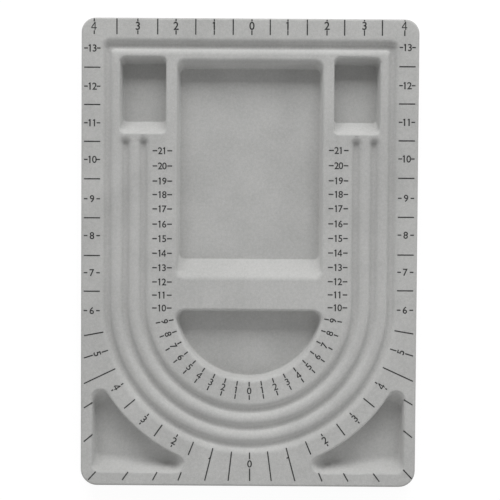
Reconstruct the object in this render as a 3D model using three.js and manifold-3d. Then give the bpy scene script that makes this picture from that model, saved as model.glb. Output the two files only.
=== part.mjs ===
// Bead board: a thin sheet formed into trays and channels, with a flock pile bonded to its upper side.
// Millimetres, +Z up. The origin is the middle of the plane the board rests on, +Y is the far edge.

import * as THREE from 'three';
import Module from 'manifold-3d';

const wasm = await Module();
wasm.setup();

// Layers, from the visible pile down to the underside
const pileThickness = 0.6;
const bondGap = 0.3;
const sheetThickness = 1.3;

// Outside of the board
const boardWidth = 228.6;
const boardLength = 317.5;
const boardHeight = 14.5;
const farCornerRadius = 10.6;
const nearCornerRadius = 12;
const skirtDraft = THREE.MathUtils.degToRad(4);
const rimEdgeRadius = 1.6;
const pileHem = 0.5;

// Three channels, nested round one bend. The outermost runs on round the far end as a closed loop
const sideRim = 12.9;
const farRim = 14.05;
const nearRim = 22.35;
const channelPitch = 12;
const ridgeFlat = 0.4;
const channelDepth = 3.4;
const channelWallAngle = THREE.MathUtils.degToRad(46);
const valleyRadius = 1.2;
const loopCornerRadius = 1.8;
const loopCornerMinimum = 2.6;

// Trays inside the channels
const trayScaleBand = 16.7;
const bowlScaleBand = 15.6;
const bareBand = 22;
const bowlSetback = 3.4;
const cupLength = 51.3;
const cupRidge = 2.3;
const cupLand = 7.3;
const cupFarLand = 1.6;
const bigTrayFarLand = 4.2;
const channelEndLand = 0.9;

// Corner trays outside the bend
const cornerSideRim = 8.7;
const cornerNearRim = 10.2;
const cornerBand = 11.4;

// Tray walls: how far each kind of wall runs in, from its rim to the floor
const steepRun = 0.9;
const bigTrayFarRun = 2.7;
const bigTrayRampRun = 12.4;
const cupFarRun = 2.2;
const cupRampRun = 9.3;
const cornerRampRun = 7.4;
const cornerTipRun = 1.8;

// Rounded shoulders on top of the walls, and rounded feet
const steepShoulder = 2.2;
const bigTrayFarShoulder = 4;
const bigTrayRampShoulder = 4.5;
const cupFarShoulder = 1.7;
const cupRampShoulder = 1.5;
const bowlShoulder = 3.4;
const bowlFarShoulder = 1.8;
const cornerShoulder = 1.6;
const plainFoot = 0.7;
const cornerRampFoot = 6;
const cornerTipFoot = 2.4;
const leastRadius = 0.3;

// Rounded corners of the trays at their rims. The far tip of a corner tray grows rounder with depth
const bigTrayCornerRadius = 6;
const cupCornerRadius = 4.4;
const bowlCornerRadius = 5;
const cornerTipRadius = 5.6;
const cornerHeelRadius = 6;
const tipGrowth = 2.5;
const leastCorner = 1;

// Facets
const overcut = 0.8;
const cornerSteps = 4;
const endSteps = 6;
const fine = {bend: 24, shoulder: [0.3, 0.65, 1], floor: [1, 0.5, 0], valley: [1, 0.3], rim: [1, 0.5, 0]};
const plain = {bend: 20, shoulder: [0.5], floor: [1, 0.5, 0], valley: [0.6], rim: [1, 0]};

// Depths of the layers' faces below the visible surface
const pileBack = pileThickness;
const sheetFace = pileBack + bondGap;
const sheetBack = sheetFace + sheetThickness;

// Places worked out from the sizes above
const trayDepth = boardHeight - sheetBack;
const channelHalf = (channelPitch - ridgeFlat) / 2;
const outerRadius = boardWidth / 2 - sideRim - channelHalf;
const middleRadius = outerRadius - channelPitch;
const innerRadius = middleRadius - channelPitch;
const bendCentre = new THREE.Vector2(0, -boardLength / 2 + nearRim + channelHalf + outerRadius);
const loopFarY = boardLength / 2 - farRim - channelHalf;
const bowlRadius = innerRadius - channelHalf - bowlScaleBand;
const bowlFarY = bendCentre.y - bowlSetback;
const bigTrayHalf = innerRadius - channelHalf - trayScaleBand;
const bigTrayNearY = bowlFarY + bareBand;
const bigTrayFarY = loopFarY - channelHalf - bigTrayFarLand;
const cupInnerX = bigTrayHalf + cupLand;
const cupOuterX = outerRadius - channelHalf - cupRidge;
const cupFarY = loopFarY - channelHalf - cupFarLand;
const cupNearY = cupFarY - cupLength;
const channelEndY = cupNearY - channelEndLand;
const cornerSideX = boardWidth / 2 - cornerSideRim;
const cornerNearY = -boardLength / 2 + cornerNearRim;
const cornerArcRadius = outerRadius + channelHalf + cornerBand;

// The kinds of tray wall
const steepWall = {run: steepRun, shoulder: steepShoulder, foot: plainFoot};
const bigTrayFarWall = {run: bigTrayFarRun, shoulder: bigTrayFarShoulder, foot: plainFoot};
const bigTrayRamp = {run: bigTrayRampRun, shoulder: bigTrayRampShoulder, foot: plainFoot};
const cupFarWall = {run: cupFarRun, shoulder: cupFarShoulder, foot: plainFoot};
const cupRamp = {run: cupRampRun, shoulder: cupRampShoulder, foot: plainFoot};
const bowlWall = {run: steepRun, shoulder: bowlShoulder, foot: plainFoot};
const bowlFarWall = {run: steepRun, shoulder: bowlFarShoulder, foot: plainFoot};
const cornerWall = {run: steepRun, shoulder: cornerShoulder, foot: plainFoot};
const cornerRamp = {run: cornerRampRun, shoulder: cornerShoulder, foot: cornerRampFoot};
const cornerTipWall = {run: cornerTipRun, shoulder: cornerShoulder, foot: cornerTipFoot};

// A straight side of a tray outline, from one sharp corner to the next, with the tray on its left.
// Its wall may be of a different kind at each end
class StraightSide {
  constructor(from, to, wallFrom, wallTo = wallFrom) {
    this.from = from;
    this.to = to;
    this.walls = [wallFrom, wallTo];
  }

  // The same side moved into the tray, as a line given by its inward normal and its distance
  moved(insets) {
    const along = this.to.clone().sub(this.from).normalize();
    const inward = new THREE.Vector2(-along.y, along.x);
    const start = this.from.clone().addScaledVector(inward, insets[0]);
    const end = this.to.clone().addScaledVector(inward, insets[1]);
    const turned = end.sub(start).normalize();
    const normal = new THREE.Vector2(-turned.y, turned.x);
    return {normal, distance: normal.dot(start)};
  }

  touch(moved, centre, radius) {
    return centre.clone().addScaledVector(moved.normal, -radius);
  }

  between() {
    return [];
  }
}

// A round side of a tray outline. The tray lies inside the circle, or outside it if hollow is true.
// The share is how much of a half turn the side spans
class RoundSide {
  constructor(centre, radius, wall, share, hollow) {
    this.centre = centre;
    this.radius = radius;
    this.walls = [wall, wall];
    this.share = share;
    this.sense = hollow ? -1 : 1;
  }

  moved(insets) {
    return {centre: this.centre, radius: this.radius - this.sense * insets[0]};
  }

  touch(moved, centre, radius) {
    const out = centre.clone().sub(moved.centre).normalize();
    return centre.clone().addScaledVector(out, this.sense * radius);
  }

  between(detail, moved, start, end) {
    const from = start.clone().sub(moved.centre).angle();
    const to = end.clone().sub(moved.centre).angle();
    const hollow = this.sense < 0;
    const arc = new THREE.EllipseCurve(
      moved.centre.x, moved.centre.y, moved.radius, moved.radius, from, to, hollow);
    return arc.getPoints(Math.round(detail.bend * this.share)).slice(1, -1);
  }
}

// Centre of a corner arc that touches two neighbouring sides, on the side of the hint
function cornerCentre(first, firstMoved, second, secondMoved, radius, hint) {
  if (firstMoved.normal && secondMoved.normal) {
    const a = firstMoved.normal;
    const b = secondMoved.normal;
    const reachA = firstMoved.distance + radius;
    const reachB = secondMoved.distance + radius;
    const cross = a.x * b.y - a.y * b.x;
    return new THREE.Vector2(
      (reachA * b.y - reachB * a.y) / cross,
      (reachB * a.x - reachA * b.x) / cross);
  }
  const [line, round, side] = firstMoved.normal
    ? [firstMoved, secondMoved, second]
    : [secondMoved, firstMoved, first];
  const away = line.distance + radius - line.normal.dot(round.centre);
  const reach = round.radius - side.sense * radius;
  const half = Math.sqrt(Math.max(reach * reach - away * away, 0));
  const foot = round.centre.clone().addScaledVector(line.normal, away);
  const tangent = new THREE.Vector2(-line.normal.y, line.normal.x);
  const options = [1, -1].map((sign) => foot.clone().addScaledVector(tangent, sign * half));
  return options[0].distanceTo(hint) < options[1].distanceTo(hint) ? options[0] : options[1];
}

// One closed outline of a wall at one stage of its height, as points going round anticlockwise
function outlineRing(detail, sides, hints, cornerRadii, wallAt, growth = []) {
  const walls = sides.map((side) => side.walls.map(wallAt));
  const moved = sides.map((side, i) => side.moved(walls[i].map((wall) => wall.inset)));
  const corners = sides.map((side, i) => {
    const next = (i + 1) % sides.length;
    const ends = [walls[i][1], walls[next][0]];
    const inset = Math.min(ends[0].inset, ends[1].inset);
    const grown = growth[i] && inset > 0 ? -growth[i] * inset : inset;
    const radius = Math.max(cornerRadii[i] - grown, leastCorner);
    const centre = cornerCentre(side, moved[i], sides[next], moved[next], radius, hints[i]);
    const start = side.touch(moved[i], centre, radius);
    const end = sides[next].touch(moved[next], centre, radius);
    return {centre, radius, start, end, heights: ends.map((wall) => wall.height)};
  });
  const ring = [];
  corners.forEach((corner, i) => {
    const before = corners[(i + corners.length - 1) % corners.length];
    const middle = sides[i].between(detail, moved[i], before.end, corner.start);
    middle.forEach((point) => ring.push(new THREE.Vector3(point.x, point.y, corner.heights[0])));
    const from = corner.start.clone().sub(corner.centre).angle();
    const to = corner.end.clone().sub(corner.centre).angle();
    const arc = new THREE.EllipseCurve(
      corner.centre.x, corner.centre.y, corner.radius, corner.radius, from, to, false);
    arc.getPoints(cornerSteps).forEach((point, step) => {
      const height = THREE.MathUtils.lerp(corner.heights[0], corner.heights[1], step / cornerSteps);
      ring.push(new THREE.Vector3(point.x, point.y, height));
    });
  });
  return ring;
}

// A closed solid from rings that all have as many points, each ring inside or below the one before
function loft(rings, closed = false) {
  const size = rings[0].length;
  const positions = rings.flat().flatMap((point) => [point.x, point.y, point.z]);
  const triangles = [];
  const bands = closed ? rings.length : rings.length - 1;
  for (let band = 0; band < bands; band += 1) {
    const upper = band * size;
    const lower = ((band + 1) % rings.length) * size;
    for (let i = 0; i < size; i += 1) {
      const next = (i + 1) % size;
      triangles.push(lower + i, lower + next, upper + next);
      triangles.push(lower + i, upper + next, upper + i);
    }
  }
  if (!closed) {
    const last = (rings.length - 1) * size;
    capTriangles(rings[0]).forEach(([a, b, c]) => triangles.push(a, b, c));
    capTriangles(rings.at(-1)).forEach(([a, b, c]) => triangles.push(last + a, last + c, last + b));
  }
  const mesh = new wasm.Mesh({
    numProp: 3,
    vertProperties: new Float32Array(positions),
    triVerts: new Uint32Array(triangles),
  });
  mesh.merge();
  return new wasm.Manifold(mesh);
}

function capTriangles(ring) {
  return THREE.ShapeUtils.triangulateShape(ring.map((point) => new THREE.Vector2(point.x, point.y)), []);
}

// A tray wall at one stage: the rounded shoulder, the straight wall or the rounded foot.
// The skin is the depth of the wanted face below the visible surface
function trayWall(wall, stage, skin) {
  const angle = Math.atan2(trayDepth, wall.run);
  const half = Math.tan(angle / 2);
  const top = boardHeight - skin;
  const shoulder = Math.max(wall.shoulder - skin, leastRadius);
  const foot = wall.foot + skin;
  const turn = stage.turn * angle;
  if (stage.part === 'shoulder') {
    const inset = shoulder * Math.sin(turn) - (shoulder + skin) * half;
    const height = top - shoulder * (1 - Math.cos(turn));
    const lift = stage.lift ?? 0;
    return {inset: inset - lift / Math.tan(turn), height: height + lift};
  }
  const inset = wall.run + (foot - skin) * half - foot * Math.sin(turn);
  const height = top - trayDepth + foot * (1 - Math.cos(turn));
  return {inset, height: stage.through ? -overcut : height};
}

function trayStages(detail, through) {
  const stages = [
    {part: 'shoulder', turn: detail.shoulder[0], lift: overcut},
    ...detail.shoulder.map((turn) => ({part: 'shoulder', turn})),
    ...detail.floor.map((turn) => ({part: 'floor', turn})),
  ];
  return through ? [...stages, {part: 'floor', turn: detail.floor.at(-1), through}] : stages;
}

// The space of one tray, down from just above the board
function traySpace(tray, skin, detail, through) {
  const rings = trayStages(detail, through).map((stage) => outlineRing(
    detail, tray.sides, tray.hints, tray.radii, (wall) => trayWall(wall, stage, skin), tray.growth));
  return loft(tray.mirrored ? rings.map(mirrorRing) : rings);
}

function mirrorRing(ring) {
  return ring.map((point) => new THREE.Vector3(-point.x, point.y, point.z)).reverse();
}

// A tray with four straight sides: near, right, far and left
function boxTray(left, right, near, far, cornerRadius, walls) {
  const points = [[left, near], [right, near], [right, far], [left, far]]
    .map(([x, y]) => new THREE.Vector2(x, y));
  const sides = points.map((point, i) => new StraightSide(point, points[(i + 1) % 4], walls[i]));
  const hints = points.map((_, i) => points[(i + 1) % 4]);
  return {sides, hints, radii: points.map(() => cornerRadius)};
}

// The tray with a straight far side and a round near side
function bowlTray() {
  const right = new THREE.Vector2(bowlRadius, bowlFarY);
  const left = new THREE.Vector2(-bowlRadius, bowlFarY);
  const sides = [
    new RoundSide(bendCentre, bowlRadius, bowlWall, 1, false),
    new StraightSide(right, left, bowlFarWall),
  ];
  return {sides, hints: [right, left], radii: [bowlCornerRadius, bowlCornerRadius]};
}

// A three-cornered tray between the bend and a near corner of the board
function cornerTray(mirrored) {
  const heel = new THREE.Vector2(-cornerSideX, cornerNearY);
  const tip = new THREE.Vector2(0, cornerNearY);
  const top = new THREE.Vector2(-cornerSideX, bendCentre.y);
  const sides = [
    new StraightSide(heel, tip, cornerRamp, cornerTipWall),
    new RoundSide(bendCentre, cornerArcRadius, cornerWall, 0.25, true),
    new StraightSide(top, heel, cornerWall),
  ];
  const hints = [new THREE.Vector2(-bowlRadius, cornerNearY), heel, heel];
  const radii = [cornerTipRadius, cornerTipRadius, cornerHeelRadius];
  return {sides, hints, radii, growth: [0, tipGrowth, 0], mirrored};
}

const cupWalls = [cupRamp, steepWall, cupFarWall, steepWall];
const trays = [
  boxTray(-bigTrayHalf, bigTrayHalf, bigTrayNearY, bigTrayFarY, bigTrayCornerRadius,
    [bigTrayRamp, steepWall, bigTrayFarWall, steepWall]),
  boxTray(-cupOuterX, -cupInnerX, cupNearY, cupFarY, cupCornerRadius, cupWalls),
  boxTray(cupInnerX, cupOuterX, cupNearY, cupFarY, cupCornerRadius, cupWalls),
  bowlTray(),
  cornerTray(false),
  cornerTray(true),
];

// Half of a channel's cross-section, from just above its shoulder down to its valley
function channelSection(skin, detail) {
  const spread = channelHalf * Math.tan(channelWallAngle) - channelDepth;
  const shoulderArc = spread / (1 / Math.cos(channelWallAngle) - 1) - valleyRadius;
  const shoulder = Math.max(shoulderArc - skin, leastRadius);
  const valley = valleyRadius + skin;
  const top = boardHeight - skin;
  const points = detail.shoulder.map((part) => {
    const turn = part * channelWallAngle;
    return {half: channelHalf - shoulder * Math.sin(turn), height: top - shoulder * (1 - Math.cos(turn))};
  });
  const lead = Math.tan(detail.shoulder[0] * channelWallAngle);
  const above = {half: points[0].half + overcut / lead, height: points[0].height + overcut};
  const bottom = detail.valley.map((part) => {
    const turn = part * channelWallAngle;
    return {half: valley * Math.sin(turn), height: top - channelDepth + valley * (1 - Math.cos(turn))};
  });
  return [above, ...points, ...bottom];
}

// Outline of a channel with two legs, at one width
function channelRing(detail, radius, {half, height}) {
  const legEnd = channelEndY - channelHalf;
  const outer = new THREE.EllipseCurve(
    bendCentre.x, bendCentre.y, radius + half, radius + half, Math.PI, 2 * Math.PI, false);
  const inner = new THREE.EllipseCurve(
    bendCentre.x, bendCentre.y, radius - half, radius - half, 2 * Math.PI, Math.PI, true);
  const ends = [radius, -radius].map((x) => new THREE.EllipseCurve(
    x, legEnd, half, half, 0, Math.PI, false).getPoints(endSteps));
  return [outer.getPoints(detail.bend), ends[0], inner.getPoints(detail.bend), ends[1]]
    .flat()
    .map((point) => new THREE.Vector3(point.x, point.y, height));
}

// Outline of the closed loop, moved outwards by the given amount
function loopRing(detail, out, height) {
  const reach = outerRadius + out;
  const corner = Math.max(loopCornerRadius + out, loopCornerMinimum);
  const far = loopFarY + out - corner;
  const bend = new THREE.EllipseCurve(bendCentre.x, bendCentre.y, reach, reach, Math.PI, 2 * Math.PI, false);
  const corners = [0, 1].map((i) => new THREE.EllipseCurve(
    (reach - corner) * (1 - 2 * i), far, corner, corner, i * Math.PI / 2, (i + 1) * Math.PI / 2, false));
  return [bend.getPoints(detail.bend), ...corners.map((curve) => curve.getPoints(cornerSteps))]
    .flat()
    .map((point) => new THREE.Vector3(point.x, point.y, height));
}

function channelSpaces(skin, detail) {
  const section = channelSection(skin, detail);
  const legs = [innerRadius, middleRadius]
    .map((radius) => loft(section.map((point) => channelRing(detail, radius, point))));
  const across = [
    ...section.map((point) => loopRing(detail, point.half, point.height)),
    ...section.toReversed().map((point) => loopRing(detail, -point.half, point.height)),
  ];
  return [...legs, loft(across, true)];
}

// The board's outside at one stage: the drafted skirt, then the rounded edge, up to the flat rim
function outsideRing(detail, inset, height) {
  const x = boardWidth / 2;
  const y = boardLength / 2;
  const points = [[-x, -y], [x, -y], [x, y], [-x, y]].map(([px, py]) => new THREE.Vector2(px, py));
  const sides = points.map((point, i) => new StraightSide(point, points[(i + 1) % 4], null));
  const hints = points.map((_, i) => points[(i + 1) % 4]);
  const radii = [nearCornerRadius, farCornerRadius, farCornerRadius, nearCornerRadius];
  return outlineRing(detail, sides, hints, radii, () => ({inset, height}));
}

function outside(skin, bottom, detail) {
  const top = boardHeight - skin;
  const edge = Math.max(rimEdgeRadius - skin, leastRadius);
  const turnTotal = Math.PI / 2 - skirtDraft;
  const skirtAt = (height) => height * Math.tan(skirtDraft) + skin / Math.cos(skirtDraft);
  const edgeCentre = skirtAt(top) + edge * Math.tan(turnTotal / 2);
  const rings = detail.rim.toReversed().map((part) => {
    const turn = part * turnTotal;
    return outsideRing(detail, edgeCentre - edge * Math.sin(turn), top - edge * (1 - Math.cos(turn)));
  });
  return loft([...rings, outsideRing(detail, skirtAt(bottom), bottom)]);
}

// Everything under one face of the formed sheet, down to the given height
function under(skin, bottom, detail) {
  const through = skin === sheetBack;
  const spaces = [
    ...trays.map((tray) => traySpace(tray, skin, detail, through)),
    ...channelSpaces(skin, detail),
  ];
  return spaces.reduce((solid, space) => solid.subtract(space), outside(skin, bottom, detail));
}

// A named mesh from a finished solid
function piece(name, solid, finish) {
  const {vertProperties, triVerts} = solid.getMesh();
  const geometry = new THREE.BufferGeometry();
  geometry.setAttribute('position', new THREE.BufferAttribute(new Float32Array(vertProperties), 3));
  geometry.setIndex(new THREE.BufferAttribute(new Uint32Array(triVerts), 1));
  geometry.computeVertexNormals();
  const mesh = new THREE.Mesh(geometry, new THREE.MeshStandardMaterial(finish));
  mesh.name = name;
  return mesh;
}

const trayShell = under(sheetFace, 0, plain).subtract(under(sheetBack, -overcut, plain));
const flockLining = under(0, pileHem, fine).subtract(under(pileBack, -overcut, plain));

const board = new THREE.Group();
board.name = 'bead_board';
board.add(
  piece('tray_shell', trayShell, {color: 0x8c8c89, roughness: 0.55, metalness: 0}),
  piece('flock_lining', flockLining, {color: 0xa3a3a0, roughness: 0.98, metalness: 0}),
);

export default board;
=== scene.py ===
"""Looks of a flocked bead board: the formed sheet, the flock pile on it and the printed scales.

Sizes are millimetres while a mesh is shaped, and a finished mesh is scaled to metres.
"""

from __future__ import annotations

import logging
import math
from collections.abc import Callable, Iterable
from dataclasses import dataclass, field
from enum import Enum
from typing import NamedTuple

import bmesh
import bpy
from mathutils import Matrix, Vector


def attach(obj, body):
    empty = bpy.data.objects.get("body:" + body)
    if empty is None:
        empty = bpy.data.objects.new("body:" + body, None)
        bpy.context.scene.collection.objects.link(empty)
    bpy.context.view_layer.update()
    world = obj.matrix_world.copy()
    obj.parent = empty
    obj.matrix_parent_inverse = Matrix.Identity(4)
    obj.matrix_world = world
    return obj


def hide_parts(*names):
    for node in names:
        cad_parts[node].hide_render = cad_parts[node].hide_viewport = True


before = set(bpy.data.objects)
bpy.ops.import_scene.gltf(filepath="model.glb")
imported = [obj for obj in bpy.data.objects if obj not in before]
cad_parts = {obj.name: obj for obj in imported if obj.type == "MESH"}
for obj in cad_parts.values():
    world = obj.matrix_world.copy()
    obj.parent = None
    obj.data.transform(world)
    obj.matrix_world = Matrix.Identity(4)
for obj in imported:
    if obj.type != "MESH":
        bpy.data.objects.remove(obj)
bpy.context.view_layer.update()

MILLIMETRE = 0.001
MERGE = 1e-3
UP = Vector((0.0, 0.0, 1.0))
ALONG_Y = Vector((0.0, 1.0, 0.0))
BODY = "root"

Place = tuple[float, float, float]
Span = tuple[float, float]
Stroke = tuple[Span, Span]
Colour = tuple[float, float, float, float]

log = logging.getLogger("bead_board")


@dataclass(frozen=True)
class WallSection:
    """A tray wall in section: rounded shoulder, straight wall and rounded foot."""

    run: float
    shoulder: float
    foot: float = 0.7
    depth: float = 12.3

    @property
    def slope(self) -> float:
        """Angle of the straight wall from the flat."""
        return math.atan2(self.depth, self.run)

    def inset_at(self, drop: float) -> float:
        """How far in from the sharp rim the wall is at a depth.

        Args:
            drop: depth below the land.

        Returns:
            The inset, negative where the shoulder starts outside the rim.
        """
        half = math.tan(self.slope / 2)
        turn_share = 1 - math.cos(self.slope)
        if drop < self.shoulder * turn_share:
            turn = math.acos(1 - drop / self.shoulder)
            return self.shoulder * (math.sin(turn) - half)
        rise = self.depth - drop
        if rise < self.foot * turn_share:
            turn = math.acos(min(1, 1 - rise / self.foot))
            return self.run + self.foot * (half - math.sin(turn))
        return drop / math.tan(self.slope)

    def drops(self, steps: int) -> list[float]:
        """Depths at which rings follow the section.

        Args:
            steps: rings on each of the two rounded parts.

        Returns:
            The depths, from just under the land to the floor.
        """
        turns = [self.slope * step / steps for step in range(1, steps + 1)]
        upper = [self.shoulder * (1 - math.cos(turn)) for turn in turns]
        lower = [self.depth - self.foot * (1 - math.cos(turn)) for turn in reversed(turns)]
        return [*upper, *lower, self.depth]


@dataclass(frozen=True)
class BoardSizes:
    """Sizes of the board: those of its solids, with some roundings a little softer or crisper."""

    width: float = 228.6
    length: float = 317.5
    height: float = 14.5
    far_corner: float = 10.6
    near_corner: float = 12.0
    skirt_draft: float = math.radians(4)
    rim_edge: float = 1.6
    pile: float = 0.6
    bond: float = 0.3
    pile_hem: float = 0.5
    ink_film: float = 0.04

    side_rim: float = 12.9
    far_rim: float = 14.05
    near_rim: float = 22.35
    channel_pitch: float = 12.0
    ridge_flat: float = 0.4
    channel_depth: float = 3.1
    channel_angle: float = math.radians(56)
    valley: float = 2.6
    loop_corner: float = 1.8
    loop_corner_least: float = 2.6

    tray_scale_band: float = 16.7
    bowl_scale_band: float = 15.6
    bare_band: float = 22.0
    bowl_setback: float = 3.4
    cup_length: float = 51.3
    cup_ridge: float = 2.3
    cup_land: float = 7.3
    cup_far_land: float = 1.6
    tray_far_land: float = 4.7
    channel_end_land: float = 0.9
    corner_side_rim: float = 8.7
    corner_near_rim: float = 10.2
    corner_band: float = 11.4

    steep_wall: WallSection = WallSection(0.9, 1.5)
    tray_far_wall: WallSection = WallSection(2.2, 4.0)
    tray_ramp: WallSection = WallSection(12.4, 4.5)
    cup_far_wall: WallSection = WallSection(2.2, 1.6)
    cup_ramp: WallSection = WallSection(9.3, 1.4)
    bowl_wall: WallSection = WallSection(0.9, 2.8)
    bowl_far_wall: WallSection = WallSection(0.9, 1.8)
    corner_wall: WallSection = WallSection(0.9, 1.6)
    corner_heel_ramp: WallSection = WallSection(7.2, 1.5, 5.6)
    corner_middle_ramp: WallSection = WallSection(1.6, 1.5, 2.0)
    tray_corner: float = 5.0
    cup_corner: float = 3.4
    bowl_corner: float = 6.2
    corner_tip: float = 5.6
    corner_heel: float = 5.0
    tip_growth: float = 2.5
    least_corner: float = 1.0

    @property
    def pile_depth(self) -> float:
        """Depth of the sheet's upper face below the visible surface."""
        return self.pile + self.bond

    @property
    def channel_half(self) -> float:
        """Half the width of a channel, without its flat ridge."""
        return (self.channel_pitch - self.ridge_flat) / 2

    @property
    def outer_radius(self) -> float:
        """Bend radius of the outermost channel's valley."""
        return self.width / 2 - self.side_rim - self.channel_half

    @property
    def channel_radii(self) -> tuple[float, float, float]:
        """Bend radii of the three valleys, from the outermost in."""
        return tuple(self.outer_radius - step * self.channel_pitch for step in range(3))

    @property
    def bend_y(self) -> float:
        """Y of the bend's centre."""
        return -self.length / 2 + self.near_rim + self.channel_half + self.outer_radius

    @property
    def loop_far_y(self) -> float:
        """Y of the outermost valley along the far end."""
        return self.length / 2 - self.far_rim - self.channel_half

    @property
    def bowl_radius(self) -> float:
        """Radius of the half-round bowl's rim."""
        return self.channel_radii[2] - self.channel_half - self.bowl_scale_band

    @property
    def bowl_far_y(self) -> float:
        """Y of the bowl's straight rim."""
        return self.bend_y - self.bowl_setback

    @property
    def tray_half(self) -> float:
        """Half the width of the large tray."""
        return self.channel_radii[2] - self.channel_half - self.tray_scale_band

    @property
    def tray_near_y(self) -> float:
        """Y of the large tray's near rim."""
        return self.bowl_far_y + self.bare_band

    @property
    def tray_far_y(self) -> float:
        """Y of the large tray's far rim."""
        return self.loop_far_y - self.channel_half - self.tray_far_land

    @property
    def cup_sides(self) -> Span:
        """Least and greatest X of the right cup's rim."""
        return self.tray_half + self.cup_land, self.outer_radius - self.channel_half - self.cup_ridge

    @property
    def cup_far_y(self) -> float:
        """Y of a cup's far rim."""
        return self.loop_far_y - self.channel_half - self.cup_far_land

    @property
    def cup_near_y(self) -> float:
        """Y of a cup's near rim."""
        return self.cup_far_y - self.cup_length

    @property
    def leg_end_y(self) -> float:
        """Y of the middle of a channel leg's round end."""
        return self.cup_near_y - self.channel_end_land - self.channel_half

    @property
    def corner_side_x(self) -> float:
        """X of a corner tray's straight side rim."""
        return self.width / 2 - self.corner_side_rim

    @property
    def corner_near_y(self) -> float:
        """Y of a corner tray's near rim."""
        return -self.length / 2 + self.corner_near_rim

    @property
    def corner_arc(self) -> float:
        """Radius of a corner tray's round rim about the bend's centre."""
        return self.outer_radius + self.channel_half + self.corner_band

    @property
    def channel_shoulder(self) -> float:
        """Radius of a channel's shoulder."""
        spread = self.channel_half * math.tan(self.channel_angle) - self.channel_depth
        return spread / (1 / math.cos(self.channel_angle) - 1) - self.valley


class Pen:
    """Draws a chain of edges in a mesh, from one vertex on."""

    def __init__(self, mesh: bmesh.types.BMesh, start: Place) -> None:
        """Puts the first vertex down.

        Args:
            mesh: the mesh to draw in.
            start: place of the first vertex.
        """
        self.mesh = mesh
        self.older = set(mesh.edges)
        self.first = mesh.verts.new(start)
        self.tip = self.first

    def line(self, x: float, y: float, z: float) -> None:
        """Draws a straight edge to a point.

        Args:
            x: the point's X.
            y: its Y.
            z: its height.
        """
        made = bmesh.ops.extrude_vert_indiv(self.mesh, verts=[self.tip])
        self.tip = made["verts"][0]
        self.tip.co = (x, y, z)

    def arc(self, centre: Place, axis: Vector, angle: float, steps: int) -> None:
        """Draws an arc about a centre.

        Args:
            centre: middle of the arc.
            axis: axis of the turn.
            angle: the turn, in radians.
            steps: edges along the arc.
        """
        made = bmesh.ops.spin(
            self.mesh, geom=[self.tip], cent=centre, axis=axis, angle=angle, steps=steps)
        self.tip = next(item for item in made["geom_last"] if isinstance(item, bmesh.types.BMVert))

    def loop(self) -> list[bmesh.types.BMEdge]:
        """Joins the chain's two ends.

        Returns:
            The edges of the closed outline.
        """
        bmesh.ops.pointmerge(self.mesh, verts=[self.first, self.tip], merge_co=self.first.co.copy())
        return [edge for edge in self.mesh.edges if edge not in self.older]

    def close(self) -> bmesh.types.BMFace:
        """Closes the chain into a face.

        Returns:
            The face inside the outline, turned upwards.
        """
        face = bmesh.ops.edgeloop_fill(self.mesh, edges=self.loop())["faces"][0]
        if face.normal.z < 0:
            face.normal_flip()
        return face


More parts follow.
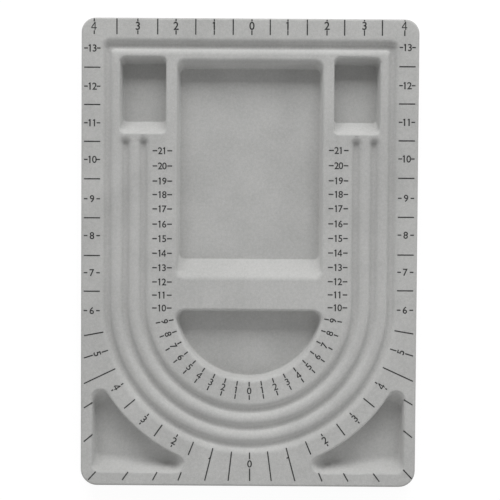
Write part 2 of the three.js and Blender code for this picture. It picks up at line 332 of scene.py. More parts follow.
@dataclass
class FormedFace:
    """The visible face of the board, from the skirt's hem to the tray floors, as an open surface.

    The bowl's round wall eases into its straight far wall along Y, over a length of so many corner
    radii. The lead is how far that has come at the middle of the corner, where 1 is the end.
    """

    sizes: BoardSizes
    hem: float
    lowered: float = 0.0
    bend_steps: int = 56
    corner_steps: int = 10
    section_steps: int = 7
    support: float = 0.1
    floor_support: float = 0.4
    hem_support: float = 0.2
    bowl_ease: float = 3.0
    bowl_lead: float = 1.2
    least_step: float = 0.03
    mesh: bmesh.types.BMesh = field(default_factory=bmesh.new)

    def __post_init__(self) -> None:
        """Adds layers for a vertex's distance outside its channel's valley and its number in its ring."""
        self.away = self.mesh.verts.layers.float.new("away")
        self.number = self.mesh.verts.layers.int.new("number")

    @property
    def top(self) -> float:
        """Height of the lands on this face."""
        return self.sizes.height - self.lowered

    @property
    def bend(self) -> Place:
        """Centre of the bend at the height of the lands."""
        return 0.0, self.sizes.bend_y, self.top

    def depths(self, *walls: WallSection) -> list[float]:
        """Depths of the rings that follow several walls at once.

        Args:
            walls: sections of the walls.

        Returns:
            The depths, from just under the land to the floor.
        """
        found = sorted({drop for wall in walls for drop in wall.drops(self.section_steps)})
        kept = []
        for drop in found:
            if kept and drop - kept[-1] < self.least_step:
                kept.pop()
            kept.append(drop)
        return kept

    def formed(self) -> bmesh.types.BMesh:
        """Forms the whole face: first what lies on both sides of the middle, then the rest.

        Returns:
            The mesh, in millimetres.
        """
        self.channels()
        self.cup()
        self.corner_tray()
        bmesh.ops.mirror(
            self.mesh, geom=[*self.mesh.verts, *self.mesh.edges, *self.mesh.faces],
            matrix=Matrix.Identity(4), merge_dist=MERGE, axis="X")
        self.large_tray()
        self.bowl()
        self.skirt()
        bmesh.ops.remove_doubles(self.mesh, verts=self.mesh.verts[:], dist=MERGE)
        self.lands()
        self.shade()
        return self.mesh

    def channels(self) -> None:
        """Sweeps the section of the three channels round the bend, up the legs and round the far end."""
        sizes = self.sizes
        self.channel_section()
        section = self.mesh.edges[:]
        bmesh.ops.spin(
            self.mesh, geom=section, cent=self.bend, axis=UP,
            angle=-math.pi / 2, steps=self.bend_steps)
        legs = self.extruded(section, lambda vert: (vert.co.x, sizes.leg_end_y, vert.co.z))
        half = sizes.channel_pitch / 2
        for radius in sizes.channel_radii[1:]:
            bmesh.ops.spin(
                self.mesh, geom=self.edges_between(legs, radius, radius + half),
                cent=(radius, sizes.leg_end_y, self.top),
                axis=UP, angle=math.pi, steps=self.corner_steps * 2)
        outermost = sizes.outer_radius
        self.far_end(self.edges_between(legs, outermost - half, outermost + half))

    def channel_section(self) -> None:
        """Draws the section of the three channels, side by side, from the outside in."""
        sizes = self.sizes
        y = sizes.bend_y
        angle = sizes.channel_angle
        shoulder = sizes.channel_shoulder
        valley = sizes.valley
        floor = self.top - sizes.channel_depth
        half = sizes.channel_half
        edge = sizes.channel_pitch / 2
        pen = Pen(self.mesh, (sizes.outer_radius + edge, y, self.top))
        for radius in sizes.channel_radii:
            pen.line(radius + half, y, self.top)
            pen.arc((radius + half, y, self.top - shoulder), ALONG_Y, -angle, self.section_steps)
            foot_rise = valley * (1 - math.cos(angle))
            pen.line(radius + valley * math.sin(angle), y, floor + foot_rise)
            pen.arc((radius, y, floor + valley), ALONG_Y, 2 * angle, self.section_steps + 1)
            drop = shoulder * (1 - math.cos(angle))
            pen.line(radius - half + shoulder * math.sin(angle), y, self.top - drop)
            pen.arc((radius - half, y, self.top - shoulder), ALONG_Y, -angle, self.section_steps)
            pen.line(radius - edge, y, self.top)

    def far_end(self, edges: list[bmesh.types.BMEdge]) -> None:
        """Carries the outermost channel up its leg, round the far corner and half across.

        Args:
            edges: the channel's section at the legs' end.
        """
        sizes = self.sizes
        for vert in {vert for edge in edges for vert in edge.verts}:
            vert[self.away] = vert.co.x - sizes.outer_radius
        for step in range(self.corner_steps + 1):
            turn = math.pi / 2 * step / self.corner_steps

            def round_corner(vert: bmesh.types.BMVert, turn: float = turn) -> Place:
                """Where a vertex of the section lies after the turn."""
                away = vert[self.away]
                radius = max(sizes.loop_corner + away, sizes.loop_corner_least)
                x = sizes.outer_radius + away - radius * (1 - math.cos(turn))
                y = sizes.loop_far_y + away - radius * (1 - math.sin(turn))
                return x, y, vert.co.z

            edges = self.extruded(edges, round_corner)
        self.extruded(edges, lambda vert: (0.0, vert.co.y, vert.co.z))

    def extruded(
        self, edges: list[bmesh.types.BMEdge],
        place: Callable[[bmesh.types.BMVert], Place],
    ) -> list[bmesh.types.BMEdge]:
        """Extrudes edges into a strip and puts its far side where it belongs.

        Args:
            edges: the edges to extrude.
            place: gives a vertex's new place.

        Returns:
            The edges on the far side of the strip.
        """
        made = bmesh.ops.extrude_edge_only(self.mesh, edges=edges)["geom"]
        ends = {item for item in made if isinstance(item, bmesh.types.BMVert)}
        for vert in ends:
            vert.co = place(vert)
        found = (item for item in made if isinstance(item, bmesh.types.BMEdge))
        return [edge for edge in found if set(edge.verts) <= ends]

    def edges_between(
        self, edges: Iterable[bmesh.types.BMEdge], least: float, most: float,
    ) -> list[bmesh.types.BMEdge]:
        """Edges that lie between two values of X.

        Args:
            edges: the edges to choose from.
            least: least X.
            most: greatest X.

        Returns:
            The chosen edges.
        """
        def inside(edge: bmesh.types.BMEdge) -> bool:
            """Whether both ends of an edge lie there."""
            return all(least - MERGE <= vert.co.x <= most + MERGE for vert in edge.verts)

        return [edge for edge in edges if inside(edge)]

    def rounded_box(
        self, left: float, right: float, near: float, far: float,
        near_radius: float, far_radius: float, z: float,
    ) -> bmesh.types.BMFace:
        """Draws a rectangle with rounded corners.

        Args:
            left: least X.
            right: greatest X.
            near: least Y.
            far: greatest Y.
            near_radius: radius of the near corners.
            far_radius: radius of the far corners.
            z: height of the outline.

        Returns:
            The face inside the outline.
        """
        quarter = math.pi / 2
        pen = Pen(self.mesh, (left + near_radius, near, z))
        pen.line(right - near_radius, near, z)
        pen.arc((right - near_radius, near + near_radius, z), UP, quarter, self.corner_steps)
        pen.line(right, far - far_radius, z)
        pen.arc((right - far_radius, far - far_radius, z), UP, quarter, self.corner_steps)
        pen.line(left + far_radius, far, z)
        pen.arc((left + far_radius, far - far_radius, z), UP, quarter, self.corner_steps)
        pen.line(left, near + near_radius, z)
        pen.arc((left + near_radius, near + near_radius, z), UP, quarter, self.corner_steps)
        return pen.close()

    def inset(self, face: bmesh.types.BMFace, thickness: float, rise: float) -> None:
        """Insets a face evenly and moves it up, or down where the rise is negative."""
        bmesh.ops.inset_region(
            self.mesh, faces=[face], thickness=thickness, depth=rise,
            use_even_offset=True, use_boundary=True)

    def skirt(self) -> None:
        """Raises the outside from its hem, up the drafted skirt and over the rounded edge."""
        sizes = self.sizes
        edge = sizes.rim_edge
        total = math.pi / 2 - sizes.skirt_draft

        def skirt_at(height: float) -> float:
            """Inset of the drafted skirt at a height."""
            return height * math.tan(sizes.skirt_draft)

        centre = skirt_at(self.top) + edge * math.tan(total / 2)
        raised = self.hem + self.hem_support
        stages = [(skirt_at(self.hem), self.hem), (skirt_at(raised), raised)]
        for step in range(self.section_steps, -1, -1):
            turn = total * step / self.section_steps
            stages.append((centre - edge * math.sin(turn), self.top - edge * (1 - math.cos(turn))))
        stages.append((centre + self.floor_support, self.top))
        start = stages[0][0]
        face = self.rounded_box(
            start - sizes.width / 2, sizes.width / 2 - start,
            start - sizes.length / 2, sizes.length / 2 - start,
            sizes.near_corner - start, sizes.far_corner - start, self.hem)
        for (inset, height), (next_inset, next_height) in zip(stages, stages[1:]):
            self.inset(face, next_inset - inset, next_height - height)
        bmesh.ops.delete(self.mesh, geom=[face], context="FACES_ONLY")

    def sink(
        self, face: bmesh.types.BMFace, wall: WallSection, depths: list[float],
        shift: Callable[[Vector, float], float],
    ) -> None:
        """Sinks a tray from its outline, ring by ring.

        Every side starts with the same wall, and its rings then move along Y to where its own wall is.

        Args:
            face: the face inside the tray's outline.
            wall: the wall that every side starts with.
            depths: depths of the rings.
            shift: how far along Y a vertex of the outline belongs from there, at a depth.
        """
        outline = [vert.co.copy() for vert in face.verts]

        def move(drop: float, before: float | None) -> None:
            """Moves the ring along Y from its place at one depth to its place at another."""
            for vert, place in zip(face.verts, outline):
                done = 0.0 if before is None else shift(place, before)
                vert.co.y += shift(place, drop) - done

        move(0.0, None)
        self.inset(face, self.support, 0.0)
        drop = 0.0
        for deeper in depths:
            self.inset(face, wall.inset_at(deeper) - wall.inset_at(drop), drop - deeper)
            move(deeper, drop)
            drop = deeper
        self.inset(face, self.floor_support, 0.0)

    def box_tray(
        self, left: float, right: float, near: float, far: float, corner: float,
        near_wall: WallSection, far_wall: WallSection,
    ) -> None:
        """Forms a tray with four straight sides.

        Args:
            left: X of the left rim.
            right: X of the right rim.
            near: Y of the near rim.
            far: Y of the far rim.
            corner: radius of the corners at the rim.
            near_wall: section of the near wall.
            far_wall: section of the far wall.
        """
        steep = self.sizes.steep_wall
        lip = steep.inset_at(0.0) - self.support
        radius = corner - lip
        face = self.rounded_box(
            left + lip, right - lip, near + lip, far - lip, radius, radius, self.top)
        middle = (near + far) / 2

        def shift(place: Vector, drop: float) -> float:
            """How far the near or far wall lies from where the steep wall would."""
            if place.y < middle:
                return near_wall.inset_at(drop) - steep.inset_at(drop)
            return steep.inset_at(drop) - far_wall.inset_at(drop)

        self.sink(face, steep, self.depths(steep, near_wall, far_wall), shift)

    def large_tray(self) -> None:
        """Forms the large tray."""
        sizes = self.sizes
        self.box_tray(
            -sizes.tray_half, sizes.tray_half, sizes.tray_near_y, sizes.tray_far_y,
            sizes.tray_corner, sizes.tray_ramp, sizes.tray_far_wall)

    def cup(self) -> None:
        """Forms the right one of the two small cups."""
        sizes = self.sizes
        self.box_tray(
            *sizes.cup_sides, sizes.cup_near_y, sizes.cup_far_y,
            sizes.cup_corner, sizes.cup_ramp, sizes.cup_far_wall)

    def bowl(self) -> None:
        """Forms the half-round bowl."""
        sizes = self.sizes
        wall = sizes.bowl_wall
        far_wall = sizes.bowl_far_wall
        lip = wall.inset_at(0.0) - self.support
        rim = sizes.bowl_radius - lip
        far = sizes.bowl_far_y - lip
        corner = sizes.bowl_corner - lip
        y = far - corner
        x = math.sqrt((rim - corner) ** 2 - (y - sizes.bend_y) ** 2)
        lean = math.atan2(y - sizes.bend_y, x)
        start = Vector((-math.cos(lean), math.sin(lean))) * rim
        pen = Pen(self.mesh, (start.x, start.y + sizes.bend_y, self.top))
        pen.arc(self.bend, UP, math.pi + 2 * lean, self.bend_steps * 2)
        pen.arc((x, y, self.top), UP, math.pi / 2 - lean, self.corner_steps)
        pen.line(-x, far, self.top)
        pen.arc((-x, y, self.top), UP, math.pi / 2 - lean, self.corner_steps)

        def shift(place: Vector, drop: float) -> float:
            """How far the far wall lies from where the round wall would, with an ease between them."""
            share = min(max((place.y - y) / (self.bowl_ease * corner) + self.bowl_lead, 0.0), 1.0)
            return share ** 2 * (3 - 2 * share) * (wall.inset_at(drop) - far_wall.inset_at(drop))

        self.sink(pen.close(), wall, self.depths(wall, far_wall), shift)

    def corner_tray(self) -> None:
        """Forms the right one of the two three-cornered trays, ring by ring."""
        sizes = self.sizes
        walls = sizes.corner_wall, sizes.corner_heel_ramp, sizes.corner_middle_ramp
        depths = [0.0, *self.depths(*walls)]
        rings = [self.corner_ring(drop, 0.0) for drop in depths]
        outline = self.corner_ring(0.0, -self.support)
        floor = self.corner_ring(depths[-1], self.floor_support)
        pen = Pen(self.mesh, outline[0])
        for number, place in enumerate([*outline[1:], outline[0]], start=1):
            pen.line(*place)
            pen.tip[self.number] = number % len(outline)
        edges = pen.loop()
        for ring in (*rings, floor):
            edges = self.extruded(edges, lambda vert, ring=ring: ring[vert[self.number]])
        bmesh.ops.edgeloop_fill(self.mesh, edges=edges)

    def corner_ring(self, drop: float, extra: float) -> list[Place]:
        """Works out the right corner tray's outline at a depth.

        Args:
            drop: depth below the land.
            extra: how much further in than the wall the outline lies.

        Returns:
            The outline's points, anticlockwise from the near end of the heel's round corner.
        """
        sizes = self.sizes
        inset = sizes.corner_wall.inset_at(drop) + extra
        side = sizes.corner_side_x - inset
        arc = sizes.corner_arc + inset
        near_middle = sizes.corner_middle_ramp.inset_at(drop)
        near_side = sizes.corner_heel_ramp.inset_at(drop)
        tip = max(sizes.corner_tip - inset, sizes.least_corner)
        far_tip = sizes.corner_tip + (sizes.tip_growth * inset if inset > 0 else -inset)
        heel = max(sizes.corner_heel - inset, sizes.least_corner)
        rise = (near_side - near_middle) / sizes.corner_side_x
        slant = math.hypot(1.0, rise)
        base = sizes.corner_near_y + near_middle + extra * slant - sizes.bend_y
        low = Vector((0.0, base + tip * slant))
        reach = (rise * low.y) ** 2 - slant ** 2 * (low.y ** 2 - (arc + tip) ** 2)
        low.x = (math.sqrt(reach) - rise * low.y) / slant ** 2
        low.y += rise * low.x
        high = Vector((side - far_tip, 0.0))
        high.y = -math.sqrt((arc + far_tip) ** 2 - high.x ** 2)
        heel_at = Vector((side - heel, base + heel * slant + rise * (side - heel)))
        low_lean = math.atan2(low.y, low.x)
        high_lean = math.atan2(high.y, high.x)
        down = math.atan(rise) - math.pi / 2
        steps = self.corner_steps
        points = [
            *self.arc_points(heel_at, heel, down, 0.0, steps),
            *self.arc_points(high, far_tip, 0.0, math.pi + high_lean, 2 * steps),
            *self.arc_points(Vector((0.0, 0.0)), arc, high_lean, low_lean, self.bend_steps // 2)[1:-1],
            *self.arc_points(low, tip, math.pi + low_lean, 2 * math.pi + down, 2 * steps)]
        return [(point.x, point.y + sizes.bend_y, self.top - drop) for point in points]

    @staticmethod
    def arc_points(centre: Vector, radius: float, first: float, last: float, steps: int) -> list[Vector]:
        """Points along an arc.

        Args:
            centre: middle of the arc.
            radius: its radius.
            first: angle of its first point.
            last: angle of its last point.
            steps: how many steps it has.

        Returns:
            The points.
        """
        turns = [first + (last - first) * step / steps for step in range(steps + 1)]
        return [centre + radius * Vector((math.cos(turn), math.sin(turn))) for turn in turns]

    def outside_loop(self, place: Vector) -> bool:
        """Whether a point of the land lies outside the outermost channel.

        Args:
            place: the point.

        Returns:
            True outside it.
        """
        sizes = self.sizes
        if place.y < sizes.bend_y:
            return math.hypot(place.x, place.y - sizes.bend_y) > sizes.outer_radius
        return abs(place.x) > sizes.outer_radius or place.y > sizes.loop_far_y

    def lands(self) -> None:
        """Fills the flat lands outside and inside the outermost channel."""
        rims: dict[bool, list[bmesh.types.BMEdge]] = {True: [], False: []}
        for edge in self.mesh.edges:
            middle = (edge.verts[0].co + edge.verts[1].co) / 2
            if edge.is_boundary and abs(middle.z - self.top) < MERGE:
                rims[self.outside_loop(middle)].append(edge)
        for edges in rims.values():
            bmesh.ops.triangle_fill(
                self.mesh, use_beauty=True, use_dissolve=False, edges=edges, normal=UP)

    def shade(self) -> None:
        """Turns every face upwards, shades the face smoothly and keeps its hem sharp."""
        bmesh.ops.recalc_face_normals(self.mesh, faces=self.mesh.faces[:])
        widest = max(self.mesh.faces, key=lambda face: face.calc_area())
        if widest.normal.z < 0:
            bmesh.ops.reverse_faces(self.mesh, faces=self.mesh.faces[:])
        self.mesh.normal_update()
        for face in self.mesh.faces:
            face.smooth = True
        for edge in self.mesh.edges:
            edge.smooth = not edge.is_boundary


class Value:
    """A number socket that can stand in Python expressions, each of which adds Math nodes."""

    def __init__(self, bench: NodeBench, socket: bpy.types.NodeSocket) -> None:
        """Wraps a socket of a bench's tree."""
        self.bench = bench
        self.socket = socket

    def math(self, operation: str, first: Operand, second: Operand) -> Value:
        """Adds a Math node.

        Args:
            operation: the node's operation.
            first: its first value.
            second: its second value.

        Returns:
            The node's result.
        """
        node = self.bench.node("ShaderNodeMath", {"operation": operation}, {0: first, 1: second})
        return Value(self.bench, node.outputs[0])

    def __add__(self, other: Operand) -> Value:
        """Sum."""
        return self.math("ADD", self, other)

    def __radd__(self, other: Operand) -> Value:
        """Sum, with the number first."""
        return self.math("ADD", other, self)

    def __sub__(self, other: Operand) -> Value:
        """Difference."""
        return self.math("SUBTRACT", self, other)

    def __rsub__(self, other: Operand) -> Value:
        """Difference, with the number first."""
        return self.math("SUBTRACT", other, self)

    def __mul__(self, other: Operand) -> Value:
        """Product."""
        return self.math("MULTIPLY", self, other)

    def __rmul__(self, other: Operand) -> Value:
        """Product, with the number first."""
        return self.math("MULTIPLY", other, self)

    def most(self, other: Operand) -> Value:
        """The greater of two values."""
        return self.math("MAXIMUM", self, other)

    def above(self, low: float, high: float) -> Value:
        """A soft step from 0 at a low value to 1 at a high one.

        Args:
            low: the low value.
            high: the high value.

        Returns:
            The step.
        """
        node = self.bench.node(
            "ShaderNodeMapRange", {"interpolation_type": "SMOOTHSTEP"},
            {0: self, 1: low, 2: high, 3: 0.0, 4: 1.0})
        return Value(self.bench, node.outputs[0])


Operand = Value | float


class NodeBench:
    """A node tree that is being filled."""

    def __init__(self, tree: bpy.types.NodeTree) -> None:
        """Empties the tree."""
        self.tree = tree
        tree.nodes.clear()

    def node(
        self, kind: str, settings: dict[str, object] | None = None,
        sockets: dict[str | int, object] | None = None,
    ) -> bpy.types.Node:
        """Adds a node.

        Args:
            kind: the node's type.
            settings: its properties, set before its sockets.
            sockets: a value or a link for each input that isn't left alone.

        Returns:
            The node.
        """
        made = self.tree.nodes.new(kind)
        for name, setting in (settings or {}).items():
            setattr(made, name, setting)
        for key, given in (sockets or {}).items():
            source = given.socket if isinstance(given, Value) else given
            if isinstance(source, bpy.types.NodeSocket):
                self.tree.links.new(source, made.inputs[key])
            else:
                made.inputs[key].default_value = source
        return made

    def noise(self, size: float, detail: float = 2.0, roughness: float = 0.55) -> Value:
        """Noise on the object's own coordinates.

        Args:
            size: width of its spots, in millimetres.
            detail: how many finer octaves it has.
            roughness: how strong those are.

        Returns:
            The noise, from 0 to 1.
        """
        place = self.node("ShaderNodeTexCoord")
        made = self.node(
            "ShaderNodeTexNoise", {"noise_dimensions": "3D"},
            {"Vector": place.outputs["Object"], "Scale": 1 / (size * MILLIMETRE),
             "Detail": detail, "Roughness": roughness})
        return Value(self, made.outputs["Fac"])

    def mix(self, share: Value, first: object, second: object) -> bpy.types.NodeSocket:
        """Mixes two colours.

        Args:
            share: how much of the second colour there is.
            first: a colour or a link to one.
            second: a colour or a link to one.

        Returns:
            The mixed colour.
        """
        made = self.node(
            "ShaderNodeMix", {"data_type": "RGBA", "clamp_factor": True},
            {0: share, 6: first, 7: second})
        return made.outputs[2]


def grey(level: float, warmth: float = 0.0) -> Colour:
    """A grey, a little yellower where warmth is above nought."""
    return level, level, level * (1 - warmth), 1.0


class Surface(NamedTuple):
    """What a finish varies over a surface."""

    colour: bpy.types.NodeSocket
    roughness: Value
    height: Value


@dataclass(frozen=True)
class Finish:
    """What the finishes share: the shader's constants, and bump with its rise in millimetres."""

    name: str
    bump: float
    rise: float
    specular: float
    sheen: float = 0.0
    sheen_roughness: float = 0.5

    def surface(self, bench: NodeBench) -> Surface:
        """What varies over the surface, which each finish works out for itself."""
        raise NotImplementedError

    def material(self) -> bpy.types.Material:
        """Makes the material.

        Returns:
            The material.
        """
        made = bpy.data.materials.new(self.name)
        made.use_nodes = True
        bench = NodeBench(made.node_tree)
        surface = self.surface(bench)
        bump = bench.node("ShaderNodeBump", None, {
            "Strength": self.bump,
            "Distance": self.rise * MILLIMETRE,
            "Height": surface.height})
        shader = bench.node("ShaderNodeBsdfPrincipled", None, {
            "Base Color": surface.colour,
            "Roughness": surface.roughness,
            "Specular IOR Level": self.specular,
            "Sheen Weight": self.sheen,
            "Sheen Roughness": self.sheen_roughness,
            "Normal": bump.outputs["Normal"]})
        bench.node("ShaderNodeOutputMaterial", None, {"Surface": shader.outputs["BSDF"]})
        return made


@dataclass(frozen=True)
class FlockFinish(Finish):
    """Short flock pile: fine fibre tips, small clumps and a faint cloudiness."""

    name: str = "flock_pile"
    bump: float = 0.34
    rise: float = 0.22
    specular: float = 0.12
    sheen: float = 0.12
    sheen_roughness: float = 0.6
    deep: float = 0.354
    tip: float = 0.52
    warmth: float = 0.018
    fibre: float = 0.34
    fibre_roughness: float = 0.6
    fibre_step: Span = (0.28, 0.72)
    clump: float = 1.7
    clump_step: Span = (0.25, 0.75)
    cloud: float = 34.0
    cloud_detail: float = 3.0
    cloud_step: Span = (0.3, 0.7)
    shade_shares: tuple[float, float, float] = (0.5, 0.24, 0.26)
    height_shares: Span = (0.7, 0.3)
    roughest: float = 1.0
    tip_gloss: float = 0.06

    def surface(self, bench: NodeBench) -> Surface:
        """What varies over the pile.

        Args:
            bench: the material's nodes.

        Returns:
            Its colour, roughness and height.
        """
        tips = bench.noise(self.fibre, roughness=self.fibre_roughness).above(*self.fibre_step)
        lie = bench.noise(self.clump).above(*self.clump_step)
        clouds = bench.noise(self.cloud, self.cloud_detail).above(*self.cloud_step)
        tip_share, lie_share, cloud_share = self.shade_shares
        shade = tips * tip_share + lie * lie_share + clouds * cloud_share
        colour = bench.mix(shade, grey(self.deep, self.warmth), grey(self.tip, self.warmth))
        tip_rise, lie_rise = self.height_shares
        return Surface(colour, self.roughest - self.tip_gloss * tips, tips * tip_rise + lie * lie_rise)


@dataclass(frozen=True)
class SheetFinish(Finish):
    """Formed plastic sheet: satin, with a fine grain and faint flow clouds from the forming."""

    name: str = "formed_sheet"
    bump: float = 0.12
    rise: float = 0.08
    specular: float = 0.45
    dark: float = 0.235
    light: float = 0.3
    warmth: float = 0.03
    grain: float = 0.6
    cloud: float = 26.0
    cloud_detail: float = 4.0
    step: Span = (0.3, 0.7)
    shade_shares: Span = (0.35, 0.65)
    smoothest: float = 0.42
    roughening: float = 0.16

    def surface(self, bench: NodeBench) -> Surface:
        """What varies over the sheet.

        Args:
            bench: the material's nodes.

        Returns:
            Its colour, roughness and height.
        """
        grain = bench.noise(self.grain)
        cloud = bench.noise(self.cloud, self.cloud_detail)
        grain_share, cloud_share = self.shade_shares
        shade = grain.above(*self.step) * grain_share + cloud.above(*self.step) * cloud_share
        colour = bench.mix(shade, grey(self.dark, self.warmth), grey(self.light, self.warmth))
        return Surface(colour, self.smoothest + self.roughening * shade, grain)


@dataclass(frozen=True)
class InkFinish(Finish):
    """Printed ink on the pile: dark grey, thin where fibre tips stand through it."""

    name: str = "scale_ink"
    bump: float = 0.3
    rise: float = 0.15
    specular: float = 0.15
    full: float = 0.03
    thin: float = 0.09
    fibre: float = 0.34
    fibre_roughness: float = 0.6
    fibre_step: Span = (0.45, 0.8)
    patch: float = 3.0
    patch_step: Span = (0.35, 0.75)
    thin_shares: Span = (0.6, 0.4)
    smoothest: float = 0.85
    roughening: float = 0.1

    def surface(self, bench: NodeBench) -> Surface:
        """What varies over the ink.

        Args:
            bench: the material's nodes.

        Returns:
            Its colour, roughness and height.
        """
        fibre = bench.noise(self.fibre, roughness=self.fibre_roughness)
        patch = bench.noise(self.patch)
        fibre_share, patch_share = self.thin_shares
        thin = fibre.above(*self.fibre_step) * fibre_share + patch.above(*self.patch_step) * patch_share
        colour = bench.mix(thin, grey(self.full), grey(self.thin))
        return Surface(colour, self.smoothest + self.roughening * fibre, fibre)


def piece_from(name: str, mesh: bmesh.types.BMesh) -> bpy.types.Object:
    """Makes an object of a finished mesh, in metres, and frees the mesh.

    Args:
        name: the piece's name.
        mesh: its mesh, in millimetres.

    Returns:
        The object, at the origin.
    """
    bmesh.ops.scale(mesh, vec=(MILLIMETRE,) * 3, verts=mesh.verts[:])
    data = bpy.data.meshes.new(name)
    mesh.to_mesh(data)
    mesh.free()
    made = bpy.data.objects.new(name, data)
    bpy.context.scene.collection.objects.link(made)
    return made


def thicken(piece: bpy.types.Object, thickness: float) -> None:
    """Gives an open face its thickness, behind the face.

    Args:
        piece: the object of the face.
        thickness: in millimetres.
    """
    solid = piece.modifiers.new("thickness", "SOLIDIFY")
    solid.thickness = thickness * MILLIMETRE
    solid.offset = -1.0
    solid.use_even_offset = True
    solid.use_rim = True


@dataclass
class FlockLining:
    """The flock pile on the whole upper side and the skirt."""

    sizes: BoardSizes
    finish: FlockFinish = FlockFinish()
    clearance: float = 0.02

    def build(self) -> bpy.types.Object:
        """Forms the pile.

        Returns:
            The piece.
        """
        film = self.sizes.ink_film
        face = FormedFace(self.sizes, hem=self.sizes.pile_hem, lowered=film)
        piece = piece_from("flock_pile", face.formed())
        thicken(piece, self.sizes.pile_depth - film - self.clearance)
        return piece

    def dress(self, piece: bpy.types.Object) -> None:
        """Gives the pile its finish and its place in the frame.

        Args:
            piece: the pile.
        """
        piece.data.materials.append(self.finish.material())
        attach(piece, BODY)
        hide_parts("flock_lining")


@dataclass
class TrayShell:
    """The formed sheet under the pile, which shows from below and along the hem."""

    node: str = "tray_shell"
    finish: SheetFinish = SheetFinish()

    def dress(self) -> bpy.types.Object:
        """Gives the sheet's own solid its finish.

        Returns:
            The solid's object.
        """
        piece = bpy.data.objects[self.node]
        made = self.finish.material()
        for slot in piece.material_slots:
            slot.material = made
        return piece


class Side(Enum):
    """The two sides that a scale runs down, with the sign of X there."""

    LEFT = -1
    RIGHT = 1


